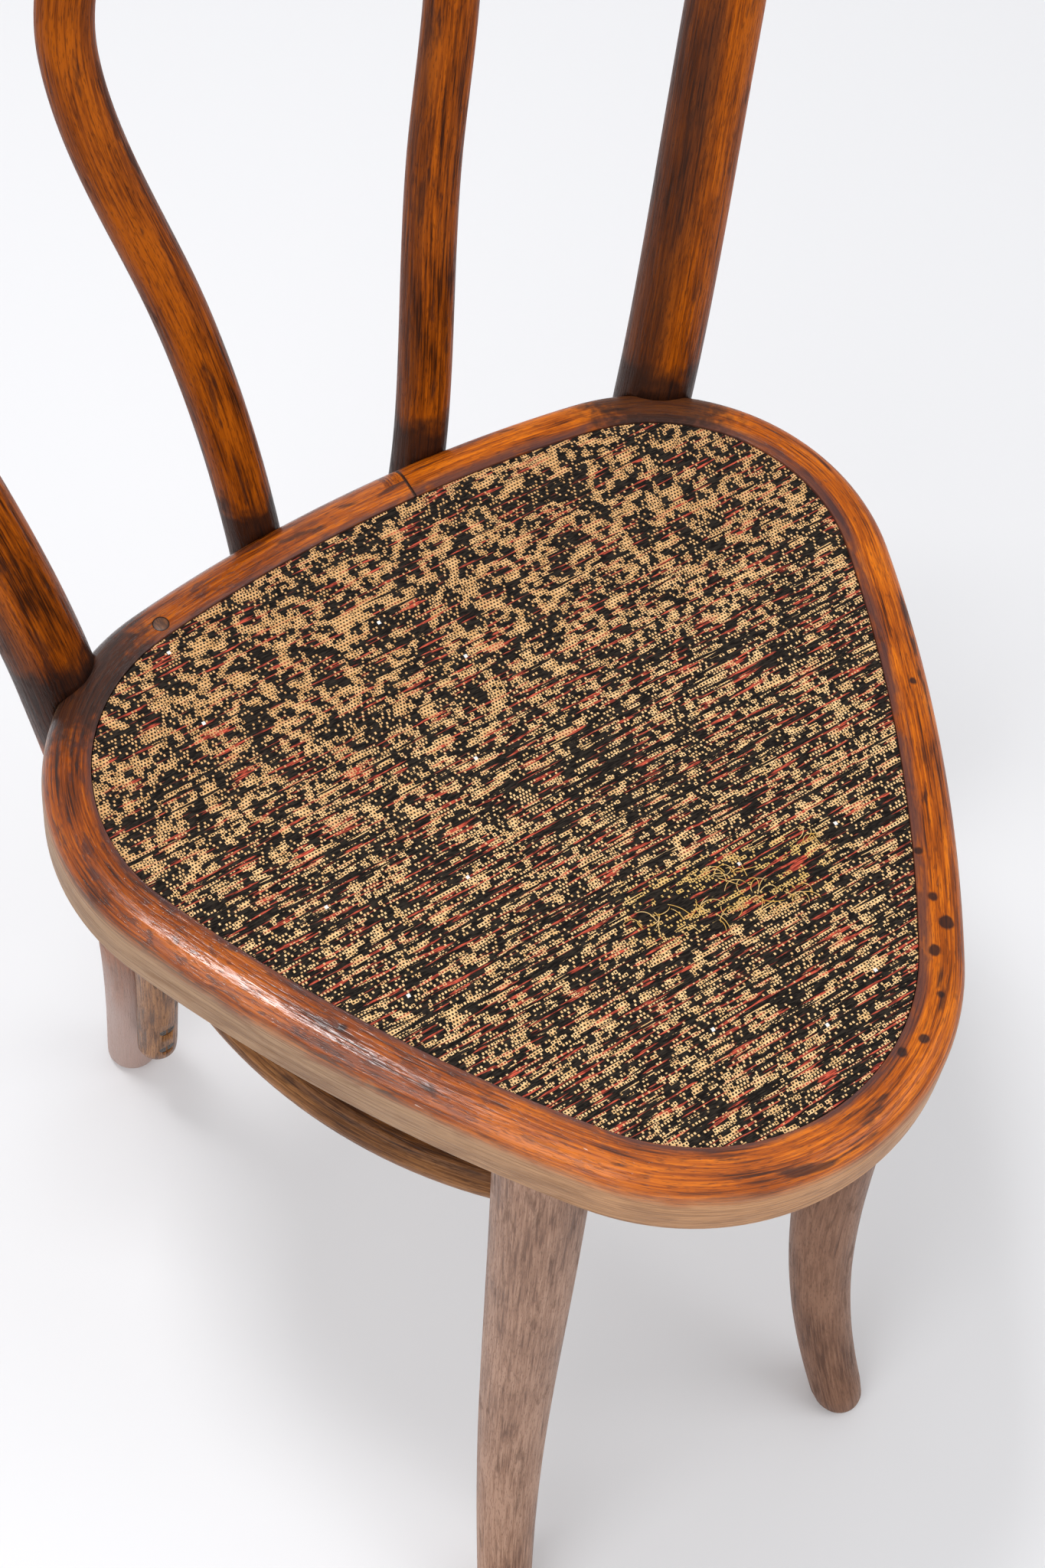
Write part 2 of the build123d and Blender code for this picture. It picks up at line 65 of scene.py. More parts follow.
along_line = (front_reach**2 - rear_reach**2 + corner_line.length_squared) / (2 * corner_line.length)
off_line = sqrt(front_reach**2 - along_line**2)
side_centre = front_centre + corner_line.normalized() * along_line
side_centre += Vector((-corner_line.y, corner_line.x)).normalized() * off_line
back_centre = Vector((0, rear_centre.y - sqrt((back_radius - rear_radius) ** 2 - rear_centre.x**2)))


def heading(way):
    return atan2(way.y, way.x)


side_start = heading(front_centre - side_centre)
side_end = heading(rear_centre - side_centre)
back_start = heading(rear_centre - back_centre)
front_half = front_radius * (side_start + pi / 2)
side_length = side_radius * (side_end - side_start)
corner_length = rear_radius * (back_start - side_end)
back_half = back_radius * (pi / 2 - back_start)
half_round = front_half + side_length + corner_length + back_half


def seat_place(point):
    """Where a point lies on the seat: distance along the mouth from the front, and outwards from it."""
    x, y = abs(point.x), point.y
    from_front = Vector((x, y)) - front_centre
    from_side = Vector((x, y)) - side_centre
    from_rear = Vector((x, y)) - rear_centre
    from_back = Vector((x, y)) - back_centre
    if heading(from_front) <= side_start:
        along, out = front_radius * (heading(from_front) + pi / 2), from_front.length - front_radius
    elif heading(from_side) <= side_end:
        along = front_half + side_radius * (heading(from_side) - side_start)
        out = from_side.length - side_radius
    elif heading(from_back) <= back_start or y < rear_centre.y:
        along = front_half + side_length + rear_radius * (heading(from_rear) - side_end)
        out = from_rear.length - rear_radius
    else:
        along = half_round - back_radius * (pi / 2 - heading(from_back))
        out = from_back.length - back_radius
    if point.x < 0:
        along = -along
    elif y > rear_centre.y and point.x < scarf_x - 1e-5:
        along -= 2 * half_round
    return along, out


def seat_sweep(profile, rounds):
    """Spins a profile of (outwards, height) round the seat. Rounds are (corner, radius, steps)."""
    swept = bmesh.new()
    corner = swept.verts.layers.int.new("corner")
    scarf = Vector((scarf_x, 0))
    scarf.y = sqrt((back_radius + ring_width / 2) ** 2 - scarf_x**2)
    scarf_way = scarf.normalized()
    for number, (out, height) in enumerate(profile):
        plan = back_centre + scarf_way * (back_radius + out)
        swept.verts.new((plan.x, plan.y, height))[corner] = number
    swept.verts.ensure_lookup_table()
    for number in range(len(profile)):
        swept.edges.new((swept.verts[number], swept.verts[(number + 1) % len(profile)]))
    scarf_angle = heading(scarf_way)
    left_rear, left_side = Vector((-rear_centre.x, rear_centre.y)), Vector((-side_centre.x, side_centre.y))
    turns = [
        (back_centre, pi - back_start - scarf_angle, 14),
        (left_rear, back_start - side_end, 36),
        (left_side, side_end - side_start, 30),
        (front_centre, pi + 2 * side_start, 40),
        (side_centre, side_end - side_start, 30),
        (rear_centre, back_start - side_end, 36),
        (back_centre, scarf_angle - back_start - scarf_gap / back_radius, 12),
    ]
    first = list(swept.edges)
    moving = swept.verts[:] + swept.edges[:]
    for centre, angle, steps in turns:
        spun = bmesh.ops.spin(
            swept, geom=moving, cent=(centre.x, centre.y, 0), axis=(0, 0, 1), angle=angle, steps=steps
        )
        moving = spun["geom_last"]
    last = [part for part in moving if isinstance(part, bmesh.types.BMEdge)]
    bmesh.ops.bridge_loops(swept, edges=first + last)
    for number, radius, segments in rounds:
        long_edges = [e for e in swept.edges if all(v[corner] == number for v in e.verts)]
        bmesh.ops.bevel(
            swept,
            geom=long_edges,
            offset=radius,
            offset_type="OFFSET",
            segments=segments,
            profile=0.5,
            affect="EDGES",
            clamp_overlap=True,
            material=-1,
        )
    bmesh.ops.recalc_face_normals(swept, faces=swept.faces)
    return swept


def piece(name, shape, material, sharp=40):
    """A finished mesh as an object of the chair, smooth except at sharp edges."""
    mesh = bpy.data.meshes.new(name)
    shape.to_mesh(mesh)
    shape.free()
    for face in mesh.polygons:
        face.use_smooth = True
    mesh.set_sharp_from_angle(angle=radians(sharp))
    mesh.materials.append(material)
    made = bpy.data.objects.new(name, mesh)
    bpy.context.scene.collection.objects.link(made)
    return made


def new_finish(name, **settings):
    """A material and its shader, with settings that are the same all over the surface."""
    material = bpy.data.materials.new(name)
    material.use_nodes = True
    shader = material.node_tree.nodes["Principled BSDF"]
    for socket, value in settings.items():
        shader.inputs[socket.replace("_", " ").title().replace("Ior", "IOR")].default_value = value
    return material, material.node_tree, shader


def node(tree, kind, inputs, **settings):
    """A shader node: its settings first, then each input as a value or as the output it is fed from."""
    made = tree.nodes.new("ShaderNode" + kind)
    for setting, value in settings.items():
        setattr(made, setting, value)
    for socket, value in inputs.items():
        if isinstance(value, bpy.types.NodeSocket):
            tree.links.new(value, made.inputs[socket])
        else:
            made.inputs[socket].default_value = value
    return made


def object_place(tree):
    return node(tree, "TexCoord", {}).outputs["Object"]


def math(tree, operation, first, second=0.0):
    return node(tree, "Math", {0: first, 1: second}, operation=operation).outputs[0]


def times(tree, first, second):
    return math(tree, "MULTIPLY", first, second)


def ramp(tree, value, low, high):
    """0 below low, 1 above high, smooth between."""
    inputs = {"Value": value, "From Min": low, "From Max": high}
    return node(tree, "MapRange", inputs, interpolation_type="SMOOTHSTEP").outputs["Result"]


def mix(tree, share, first, second, blend="MIX"):
    """Blends two colours, each of three numbers or an output."""
    first, second = [(*c, 1) if isinstance(c, tuple) else c for c in (first, second)]
    return node(tree, "Mix", {0: share, 6: first, 7: second}, data_type="RGBA", blend_type=blend).outputs[2]


def stain(tree, colour, share, weight, tone):
    """Brings a colour towards a tone, by the weight where the share is 1."""
    return mix(tree, times(tree, share, weight), colour, tone)


def noise(tree, place, stretch, scale, detail=2.0, distortion=0.0, seed=0.0):
    """Noise with its own stretch along each axis of a place."""
    moved = node(tree, "Mapping", {"Vector": place, "Location": (seed, seed, seed), "Scale": stretch})
    inputs = {"Vector": moved.outputs[0], "Scale": scale, "Detail": detail, "Distortion": distortion}
    return node(tree, "TexNoise", inputs).outputs["Fac"]


def total(tree, *shares):
    """A weighted sum of outputs."""
    summed = 0.0
    for value, weight in shares:
        summed = math(tree, "ADD", times(tree, value, weight), summed)
    return summed


def near(tree, place, spots, edge):
    """1 on round spots of (middle, radius), 0 away from them, uneven at the edge."""
    ragged = times(tree, math(tree, "SUBTRACT", noise(tree, place, (1, 1, 1), 260, 2), 0.5), 3 * edge)
    found = 0.0
    for middle, radius in spots:
        apart = node(tree, "VectorMath", {0: place, 1: middle}, operation="DISTANCE").outputs["Value"]
        on_spot = ramp(tree, math(tree, "ADD", apart, ragged), radius + edge, radius - edge)
        found = math(tree, "MAXIMUM", on_spot, found)
    return found


def shellac(name, pale, middle, dark, gloss, marks, seed):
    """Old shellac over stained beech. The grain attribute is the stick before it was bent."""
    material, tree, shader = new_finish(name, coat_weight=gloss, coat_roughness=0.2, specular_ior_level=0.03)
    grain = node(tree, "Attribute", {}, attribute_name="grain").outputs["Vector"]
    bands = noise(tree, grain, (1, 1, 0.05), 620, 3, 0.3, seed)
    clouds = noise(tree, grain, (1, 1, 0.3), 46, 4, 0.7, seed + 1)
    fine = noise(tree, grain, (1, 1, 0.03), 1400, 3, 0, seed + 2)
    pores = noise(tree, grain, (1, 1, 0.1), 2300, 1, 0, seed + 3)
    blots = noise(tree, grain, (1, 1, 0.2), 170, 5, 0.3, seed + 4)
    tone = total(tree, (bands, 0.32), (clouds, 0.36), (fine, 0.32))
    colour = mix(tree, ramp(tree, tone, 0.38, 0.5), dark, middle)
    colour = mix(tree, ramp(tree, tone, 0.47, 0.6), colour, pale)
    fleck = ramp(tree, pores, 0.56, 0.68)
    colour = stain(tree, colour, fleck, 0.5, dark)
    blot = ramp(tree, blots, 0.58, 0.68)
    colour = stain(tree, colour, blot, marks, (0.025, 0.011, 0.009))
    rough = total(tree, (clouds, 0.3), (blot, 0.2), (fleck, 0.1))
    relief = total(tree, (fine, 0.5), (bands, 1.8), (fleck, -0.5), (clouds, 0.8))
    bump = node(tree, "Bump", {"Strength": 0.55, "Distance": 0.0004, "Height": relief})
    tree.links.new(bump.outputs[0], shader.inputs["Normal"])
    tree.links.new(bump.outputs[0], shader.inputs["Coat Normal"])
    tree.links.new(math(tree, "ADD", rough, 0.2), shader.inputs["Roughness"])
    tree.links.new(colour, shader.inputs["Base Color"])
    return material, tree, shader, grain, colour


ring_section = [
    (ring_width, ring_under),
    (ring_width, seat_top),
    (0, seat_top),
    (0, ledge_top),
    (-ledge_width, ledge_top),
    (-ledge_width, ring_under),
]
outer_rounds = [(1, 0.011, 8), (0, 0.003, 3)]
mouth_round = (2, 0.002, 3)
ring_shape = seat_sweep(ring_section, outer_rounds + [mouth_round])
ring_grain = ring_shape.loops.layers.float_vector.new("grain")
for face in ring_shape.faces:
    for loop in face.loops:
        along, out = seat_place(loop.vert.co)
        loop[ring_grain] = (out, loop.vert.co.z - seat_top, along)
post_angle = radians(58)
post_stand_off = 0.006
post_reach = Vector((cos(post_angle), sin(post_angle))) * (rear_radius + ring_width + post_stand_off)
post_plan = rear_centre + post_reach
ring_tones = (0.66, 0.165, 0.006), (0.36, 0.074, 0.004), (0.06, 0.015, 0.005)
ring_wood, tree, shader, grain, colour = shellac("ring_shellac", *ring_tones, gloss=1.0, marks=0.8, seed=0.0)
place = object_place(tree)
at_x, at_y, _ = node(tree, "SeparateXYZ", {0: place}).outputs
out, rise, along = node(tree, "SeparateXYZ", {0: grain}).outputs
patchy = noise(tree, grain, (1, 1, 0.4), 120, 3, 0.5, 20.0)
# The sitter's right side of the top is darker and mottled, and dirt lies along the mouth.
dark_side = times(tree, ramp(tree, along, -0.04, -0.2), ramp(tree, along, -0.56, -0.46))
colour = mix(tree, dark_side, colour, (0.66, 0.61, 0.55), "MULTIPLY")
mottle = ramp(tree, noise(tree, grain, (1, 1, 0.3), 300, 4, 0.4, 31.0), 0.56, 0.64)
mottle = times(tree, mottle, total(tree, (dark_side, 0.5), (1.0, 0.15)))
colour = mix(tree, mottle, colour, (0.05, 0.018, 0.015))
other_side = ramp(tree, along, -0.05, 0.12)
mouth_reach = total(tree, (out, 1.0), (patchy, 0.006), (other_side, -0.0025))
mouth = times(tree, ramp(tree, mouth_reach, 0.007, 0.003), ramp(tree, patchy, 0.2, 0.5))
colour = stain(tree, colour, mouth, 0.85, (0.075, 0.034, 0.032))
# Black stains, each a place on the seat and a radius, and grime round the posts.
stain_spots = [
    ((0.0941, -0.1513, 0), 0.0034),
    ((0.0964, -0.1389, 0), 0.0022),
    ((0.0821, -0.1592, 0), 0.0026),
    ((0.0719, -0.1766, 0), 0.0016),
    ((0.0786, -0.1811, -0.001), 0.0022),
    ((0.0539, -0.1889, 0), 0.0024),
    ((0.0428, -0.1893, 0), 0.0022),
    ((0.1045, -0.1185, 0), 0.0018),
    ((0.1537, -0.0507, 0), 0.0018),
    ((-0.1409, -0.0651, 0), 0.0018),
]
seat_point = Vector((0, seat_y, seat_top))
black_stains = [(seat_point + Vector(spot), radius) for spot, radius in stain_spots]
colour = stain(tree, colour, near(tree, place, black_stains, 0.0007), 0.9, (0.018, 0.01, 0.01))
post_dirt = [(Vector((side * post_plan.x, post_plan.y, seat_top)), 0.039) for side in (-1, 1)]
colour = stain(tree, colour, near(tree, place, post_dirt, 0.012), 0.86, (0.022, 0.013, 0.011))
# The dark line of the scarf joint.
scarf_way = Vector((0.0013, 0.0167)).normalized()
scarf_middle = Vector((scarf_x, seat_y + 0.1466))
scarf_off = scarf_way.y * scarf_middle.x - scarf_way.x * scarf_middle.y
from_scarf = math(tree, "SUBTRACT", total(tree, (at_x, scarf_way.y), (at_y, -scarf_way.x)), scarf_off)
from_scarf = math(tree, "ABSOLUTE", from_scarf)
at_back = ramp(tree, at_y, seat_y + 0.1, seat_y + 0.11)
scarf_line = times(tree, ramp(tree, from_scarf, 0.001, 0.0004), at_back)
colour = stain(tree, colour, scarf_line, 0.9, (0.02, 0.011, 0.009))
# The dull upright side, worn but also given a painted reflection of the white room that greys it most on the
# sitter's right, and pale nicks all over.
dull_and_reflection = mix(tree, ramp(tree, along, -0.02, -0.2), (0.6, 0.315, 0.155), (0.42, 0.265, 0.16))
dull_and_reflection = stain(tree, dull_and_reflection, ramp(tree, patchy, 0.4, 0.7), 0.45, (0.2, 0.1, 0.055))
dull_grain = noise(tree, grain, (1, 1, 0.03), 1100, 3, 0, 14.0)
dull_and_reflection = stain(tree, dull_and_reflection, ramp(tree, dull_grain, 0.4, 0.66), 0.5, (0.16, 0.085, 0.05))
edge_line = total(tree, (rise, 1.0), (patchy, 0.006))
upright = times(tree, ramp(tree, edge_line, -0.001, -0.01), ramp(tree, out, 0.012, 0.016))
colour = mix(tree, upright, colour, dull_and_reflection)
nicks = noise(tree, grain, (1, 1, 0.2), 600, 1, 0, 31.0)
colour = stain(tree, colour, ramp(tree, nicks, 0.81, 0.84), 0.6, (0.75, 0.68, 0.6))
tree.links.new(colour, shader.inputs["Base Color"])
polish = total(tree, (ramp(tree, along, 0.1, -0.08), 0.65), (1.0, 0.3))
polish = times(tree, math(tree, "SUBTRACT", 1.0, upright), polish)
tree.links.new(polish, shader.inputs["Coat Weight"])
seat_ring = piece("bent_seat_ring", ring_shape, ring_wood)
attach(seat_ring, "root")
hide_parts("seat_ring")


# Seat cover: worn tapestry, woven in ribs from side to side, stretched over a felted board, pulled down
# its edge and tacked underneath.
cover_top = 0.4642
cover_gap = 0.0004
cloth_thickness = 0.0007
rib_pitch, rib_height = 0.0016, 0.0003
cell_long = 0.0015
gouge_half, gouge_depth = 0.003, 0.0006
cover_front = front_centre.y - front_radius + cover_gap
cover_back = back_centre.y + back_radius - cover_gap


def half_width(y):
    """Half the panel's width at a depth."""
    if y < front_centre.y + front_radius * sin(side_start):
        centre, radius = front_centre, front_radius
    elif y < rear_centre.y + rear_radius * sin(side_end):
        centre, radius = side_centre, side_radius
    elif y < rear_centre.y + rear_radius * sin(back_start):
        centre, radius = rear_centre, rear_radius
    else:
        centre, radius = back_centre, back_radius
    return centre.x + sqrt(max((radius - cover_gap) ** 2 - (y - centre.y) ** 2, 0))


gouge_start, gouge_end = Vector((-0.0154, seat_y - 0.0835)), Vector((0.0698, seat_y - 0.0992))
gouge_length = (gouge_end - gouge_start).length
gouge_way = (gouge_end - gouge_start).normalized()
gouge_across = Vector((-gouge_way.y, gouge_way.x))
cover_shape = bmesh.new()
cover_rows = int((cover_back - cover_front) / rib_pitch) * 3
bmesh.ops.create_grid(cover_shape, x_segments=48, y_segments=cover_rows, size=0.5)
for vert in cover_shape.verts:
    y = cover_front + (vert.co.y + 0.5) * (cover_back - cover_front)
    x = 2 * vert.co.x * half_width(y)
    rib = 0.5 + 0.5 * cos(2 * pi * y / rib_pitch)
    from_gouge = Vector((x, y)) - gouge_start
    sunk = max(0, 1 - (from_gouge.dot(gouge_across) / gouge_half) ** 2)
    if not 0 < from_gouge.dot(gouge_way) < gouge_length:
        sunk = 0
    vert.co = (x, y, cover_top - rib_height + rib_height * rib - gouge_depth * sunk)
cover_rim = [edge for edge in cover_shape.edges if edge.is_boundary]
skirt = bmesh.ops.extrude_edge_only(cover_shape, edges=cover_rim)["geom"]
for vert in [part for part in skirt if isinstance(part, bmesh.types.BMVert)]:
    vert.co.z = ledge_top + cloth_thickness
skirt_edges = [edge for edge in cover_shape.edges if edge.is_boundary]
margin = bmesh.ops.extrude_edge_only(cover_shape, edges=skirt_edges)["geom"]
margin_verts = [part for part in margin if isinstance(part, bmesh.types.BMVert)]
margin_shrink = (0.85, 0.84, 1)
panel_middle = Vector((0, seat_y - 0.028, 0))
from_panel = Matrix.Translation(-panel_middle)
bmesh.ops.scale(cover_shape, vec=margin_shrink, space=from_panel, verts=margin_verts)
bmesh.ops.recalc_face_normals(cover_shape, faces=cover_shape.faces)

tapestry, tree, shader = new_finish("worn_tapestry", roughness=0.9, specular_ior_level=0.06)
place = object_place(tree)
at_x, at_y, _ = node(tree, "SeparateXYZ", {0: place}).outputs
# The weave: cells along each rib, moved on by half a cell in every other row.
wander = noise(tree, place, (1, 1, 1), 18, 2)
row_at = math(tree, "DIVIDE", total(tree, (at_y, 1.0), (wander, 0.004)), rib_pitch)
row = math(tree, "FLOOR", row_at)
odd = times(tree, math(tree, "FLOORED_MODULO", row, 2.0), 0.5)
column_at = math(tree, "ADD", math(tree, "DIVIDE", at_x, cell_long), odd)
column = math(tree, "FLOOR", column_at)
cell = node(tree, "CombineXYZ", {0: column, 1: row}).outputs[0]
chance = node(tree, "TexWhiteNoise", {"Vector": cell}, noise_dimensions="2D").outputs["Value"]
sprinkle = node(tree, "TexWhiteNoise", {"Vector": cell, "W": 5.0}, noise_dimensions="4D").outputs["Value"]
dusty = node(tree, "TexWhiteNoise", {"Vector": cell}, noise_dimensions="3D").outputs["Value"]
across_cell = math(tree, "ABSOLUTE", math(tree, "SUBTRACT", math(tree, "FRACT", column_at), 0.5))
across_rib = math(tree, "ABSOLUTE", math(tree, "SUBTRACT", math(tree, "FRACT", row_at), 0.5))
# The figure: scrolls at the back that turn into dashes towards the front.
frontness = ramp(tree, at_y, seat_y + 0.09, seat_y - 0.02)
cell_size = (cell_long, rib_pitch, 1)
woven_at = node(tree, "Mapping", {"Vector": cell, "Scale": cell_size}).outputs[0]
sway = node(tree, "TexNoise", {"Vector": woven_at, "Scale": 70.0, "Detail": 1.0}).outputs["Color"]
sway = node(tree, "VectorMath", {0: sway, 1: (0.5, 0.5, 0.5)}, operation="SUBTRACT").outputs[0]
sway_inputs = {0: sway, 1: (0.016, 0.016, 0), 2: woven_at}
swayed = node(tree, "VectorMath", sway_inputs, operation="MULTIPLY_ADD").outputs[0]
curls = node(tree, "TexVoronoi", {"Vector": swayed, "Scale": 72.0}, voronoi_dimensions="2D")
curl_band = math(tree, "ABSOLUTE", math(tree, "SUBTRACT", curls.outputs["Distance"], 0.36))
grit = noise(tree, cell, cell_size, 300, 2, 0.2, 2.0)
stripes = noise(tree, cell, (cell_long * 0.22, rib_pitch, 1), 430, 2, 0.2, 3.0)
breaks = noise(tree, cell, cell_size, 110, 1, 0, 5.0)
stroke = times(tree, ramp(tree, curl_band, 0.19, 0.09), ramp(tree, breaks, 0.38, 0.46))
scrolls = math(tree, "SUBTRACT", total(tree, (stroke, 0.5), (grit, 1.0), (stripes, 0.5)), 1.11)
dashes = math(tree, "SUBTRACT", total(tree, (stroke, 0.22), (grit, 0.9), (stripes, 1.3)), 1.32)
figure = node(tree, "Mix", {0: frontness, 2: scrolls, 3: dashes}, data_type="FLOAT").outputs[0]
# The worn gouge, with threadbare cloth beside it.
along_gouge = total(tree, (at_x, gouge_way.x), (at_y, gouge_way.y))
along_gouge = math(tree, "SUBTRACT", along_gouge, gouge_start.dot(gouge_way))
off_gouge = total(tree, (at_x, gouge_across.x), (at_y, gouge_across.y))
off_gouge = math(tree, "ABSOLUTE", math(tree, "SUBTRACT", off_gouge, gouge_start.dot(gouge_across)))
past_start = ramp(tree, along_gouge, -0.01, 0.01)
before_end = ramp(tree, along_gouge, gouge_length + 0.01, gouge_length - 0.01)
beside = times(tree, past_start, before_end)
gouge = times(tree, ramp(tree, total(tree, (off_gouge, 1.0), (grit, 0.012)), 0.011, 0.007), beside)
threadbare = times(tree, ramp(tree, off_gouge, 0.022, 0.006), beside)
# Tan thread: a net where the figure is solid, dots round it and here and there, none where it is worn off.
solid = math(tree, "GREATER_THAN", figure, 0.0)
fringe = math(tree, "GREATER_THAN", total(tree, (figure, 1.0), (chance, 0.5)), 0.2)
dotted = math(tree, "MAXIMUM", fringe, math(tree, "GREATER_THAN", sprinkle, 0.7))
in_cell = node(tree, "CombineXYZ", {0: across_cell, 1: across_rib}).outputs[0]
from_hole = node(tree, "VectorMath", {0: in_cell}, operation="LENGTH").outputs["Value"]
net = times(tree, ramp(tree, from_hole, 0.22, 0.38), solid)
dot = times(tree, ramp(tree, across_cell, 0.34, 0.2), ramp(tree, across_rib, 0.4, 0.24))
dot = times(tree, times(tree, dot, dotted), math(tree, "SUBTRACT", 1.0, solid))
black_lines = noise(tree, place, (0.045, 1, 1), 560, 1, 0.1, 11.0)
is_black = math(tree, "GREATER_THAN", total(tree, (black_lines, 1.0), (frontness, 0.1)), 0.67)
worn_off = math(tree, "MAXIMUM", is_black, math(tree, "GREATER_THAN", gouge, 0.5))
tan_thread = times(tree, math(tree, "ADD", net, dot), math(tree, "SUBTRACT", 1.0, worn_off))
# Colours: tan over a black ground with red slivers, and a few specks of lint.
red_lines = noise(tree, place, (0.075, 1, 1), 640, 1, 0.1, 7.0)
red_share = total(tree, (red_lines, 1.0), (frontness, 0.02))
is_red = times(tree, ramp(tree, red_share, 0.615, 0.67), ramp(tree, across_rib, 0.5, 0.4))
tan = mix(tree, chance, (0.66, 0.4, 0.17), (0.9, 0.6, 0.3))
tan = stain(tree, tan, ramp(tree, red_share, 0.56, 0.64), 0.4, (0.6, 0.24, 0.13))
tan = stain(tree, tan, threadbare, 0.6, (0.62, 0.4, 0.09))
tan = mix(tree, math(tree, "SUBTRACT", 1.0, frontness), tan, (0.84, 0.76, 0.7), "MULTIPLY")
yarn = noise(tree, place, (0.2, 1, 1), 1600, 2)
black_yarn = mix(tree, ramp(tree, yarn, 0.35, 0.7), (0.008, 0.0065, 0.006), (0.03, 0.024, 0.019))
red_yarn = mix(tree, ramp(tree, yarn, 0.35, 0.65), (0.18, 0.027, 0.019), (0.6, 0.1, 0.056))
ground = mix(tree, is_red, black_yarn, red_yarn)
cloth = mix(tree, tan_thread, ground, tan)
cloth = mix(tree, math(tree, "GREATER_THAN", dusty, 0.9996), cloth, (0.8, 0.78, 0.75))
tree.links.new(cloth, shader.inputs["Base Color"])
weave = math(tree, "SUBTRACT", times(tree, tan_thread, 0.7), across_rib)
bump = node(tree, "Bump", {"Strength": 0.5, "Distance": 0.0004, "Height": weave})
tree.links.new(bump.outputs[0], shader.inputs["Normal"])

cover = piece("tapestry_seat", cover_shape, tapestry, 60)
cloth_body = cover.modifiers.new("cloth thickness", "SOLIDIFY")
cloth_body.thickness = cloth_thickness
cloth_body.offset = -1
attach(cover, "root")
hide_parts("seat_cover", "seat_felt")


# Back bow: one long beech rod, thickest at the seat, that makes both rear legs, both posts and the arch
# of the back. It is notched over the ring and bolted to it.
foot_rim = 0.008
bow_end_radius, bow_foot_radius, bow_seat_radius = 0.0136, 0.0135, 0.0175
bow_shoulder_radius, bow_crown_radius = 0.0167, 0.0145
notch_gap = 0.0003
bolt_seat = 0.00765


def mirror_stops(stops):
    """Carries a rod's stops from the middle on to the other side."""
    other = []
    for place, radius, way in reversed(stops[:-1]):
        way = Vector((way.x, -way.y, -way.z)) if way else None
        other.append((Vector((-place.x, place.y, place.z)), radius, way))
    return stops + other


def bend(start, start_way, end, end_way, pulls, radii, count):
    """Stops along a bend between two places, without the last one."""
    start_pull, end_pull = start_way.normalized() * pulls[0], end_way.normalized() * pulls[1]
    places = interpolate_bezier(start, start + start_pull, end - end_pull, end, count + 1)
    step = (radii[1] - radii[0]) / count
    return [(place, radii[0] + step * number, None) for number, place in enumerate(places[:-1])]


def arch(centre, arm, axis, angle, radii, count):
    """Stops round an arc, its last one included."""
    step = (radii[1] - radii[0]) / count
    stops = []
    for number in range(count + 1):
        turned = Matrix.Rotation(angle * number / count, 3, axis) @ arm
        stops.append((centre + turned, radii[0] + step * number, None))
    return stops


def round_end(place, way, radius, rim):
    """Stops of a level end with a rounded rim, from its flat up to the rod's full thickness."""
    stops = []
    for number in range(6):
        angle = pi / 2 * number / 6
        rise = rim * (1 - cos(angle))
        stops.append((place + way * (rise / way.z), radius - rim + rim * sin(angle), Vector((0, 0, 1))))
    return stops


def bent_rod(stops, sides=40, rod=None):
    """A round rod drawn through its stops, with the straight stick it was bent from as its grain."""
    rod = rod or bmesh.new()
    stick = rod.verts.layers.float_vector.new("stick")
    verts = bmesh.ops.create_circle(rod, segments=sides, radius=1)["verts"]
    for vert in verts:
        vert[stick] = vert.co
    end_edges = list({edge for vert in verts for edge in vert.link_edges})
    across = Vector((0, 1, 0))
    was = Matrix.Identity(4)
    length = 0.0
    edges, drawn_faces = end_edges, []
    for number, (place, radius, way) in enumerate(stops):
        if way is None:
            way = stops[min(number + 1, len(stops) - 1)][0] - stops[max(number - 1, 0)][0]
        way = way.normalized()
        across = (across - way * across.dot(way)).normalized()
        turn = Matrix((across, way.cross(across), way)).transposed().to_4x4()
        now = Matrix.Translation(place) @ turn @ Matrix.Scale(radius, 4)
        if number:
            length += (place - stops[number - 1][0]).length
            drawn = bmesh.ops.extrude_edge_only(rod, edges=edges)["geom"]
            verts = [part for part in drawn if isinstance(part, bmesh.types.BMVert)]
            edges = [e for e in drawn if isinstance(e, bmesh.types.BMEdge) and e.is_boundary]
            drawn_faces += [part for part in drawn if isinstance(part, bmesh.types.BMFace)]
        bmesh.ops.transform(rod, matrix=now @ was.inverted(), verts=verts)
        for vert in verts:
            flat = Vector((vert[stick].x, vert[stick].y)).normalized() * radius
            vert[stick] = (flat.x, flat.y, length)
        was = now
    for rim in (end_edges, edges):
        drawn_faces += bmesh.ops.contextual_create(rod, geom=rim)["faces"]
    bmesh.ops.recalc_face_normals(rod, faces=drawn_faces)
    grain = rod.loops.layers.float_vector.get("grain") or rod.loops.layers.float_vector.new("grain")
    stick = rod.verts.layers.float_vector["stick"]
    for face in drawn_faces:
        for loop in face.loops:
            loop[grain] = loop.vert[stick]
    rod.verts.layers.float_vector.remove(stick)
    return rod


def at_height(stops, height):
    """The place, thickness and direction of a rising rod at a height."""
    for (low, low_radius, _), (high, high_radius, _) in zip(stops, stops[1:]):
        if low.z <= height < high.z:
            share = (height - low.z) / (high.z - low.z)
            radius = low_radius + (high_radius - low_radius) * share
            return low.lerp(high, share), radius, (high - low).normalized()


def cut_out(body, cutter):
    """Takes the cutter's shape out of a piece for good."""
    mesh = bpy.data.meshes.new("cutter")
    cutter.to_mesh(mesh)
    cutter.free()
    tool = bpy.data.objects.new("cutter", mesh)
    bpy.context.scene.collection.objects.link(tool)
    cut = body.modifiers.new("cut", "BOOLEAN")
    cut.object, cut.operation, cut.solver = tool, "DIFFERENCE", "EXACT"
    result = bpy.data.meshes.new_from_object(body.evaluated_get(bpy.context.evaluated_depsgraph_get()))
    body.modifiers.clear()
    body.data = result
    bpy.data.objects.remove(tool)
    bpy.data.meshes.remove(mesh)


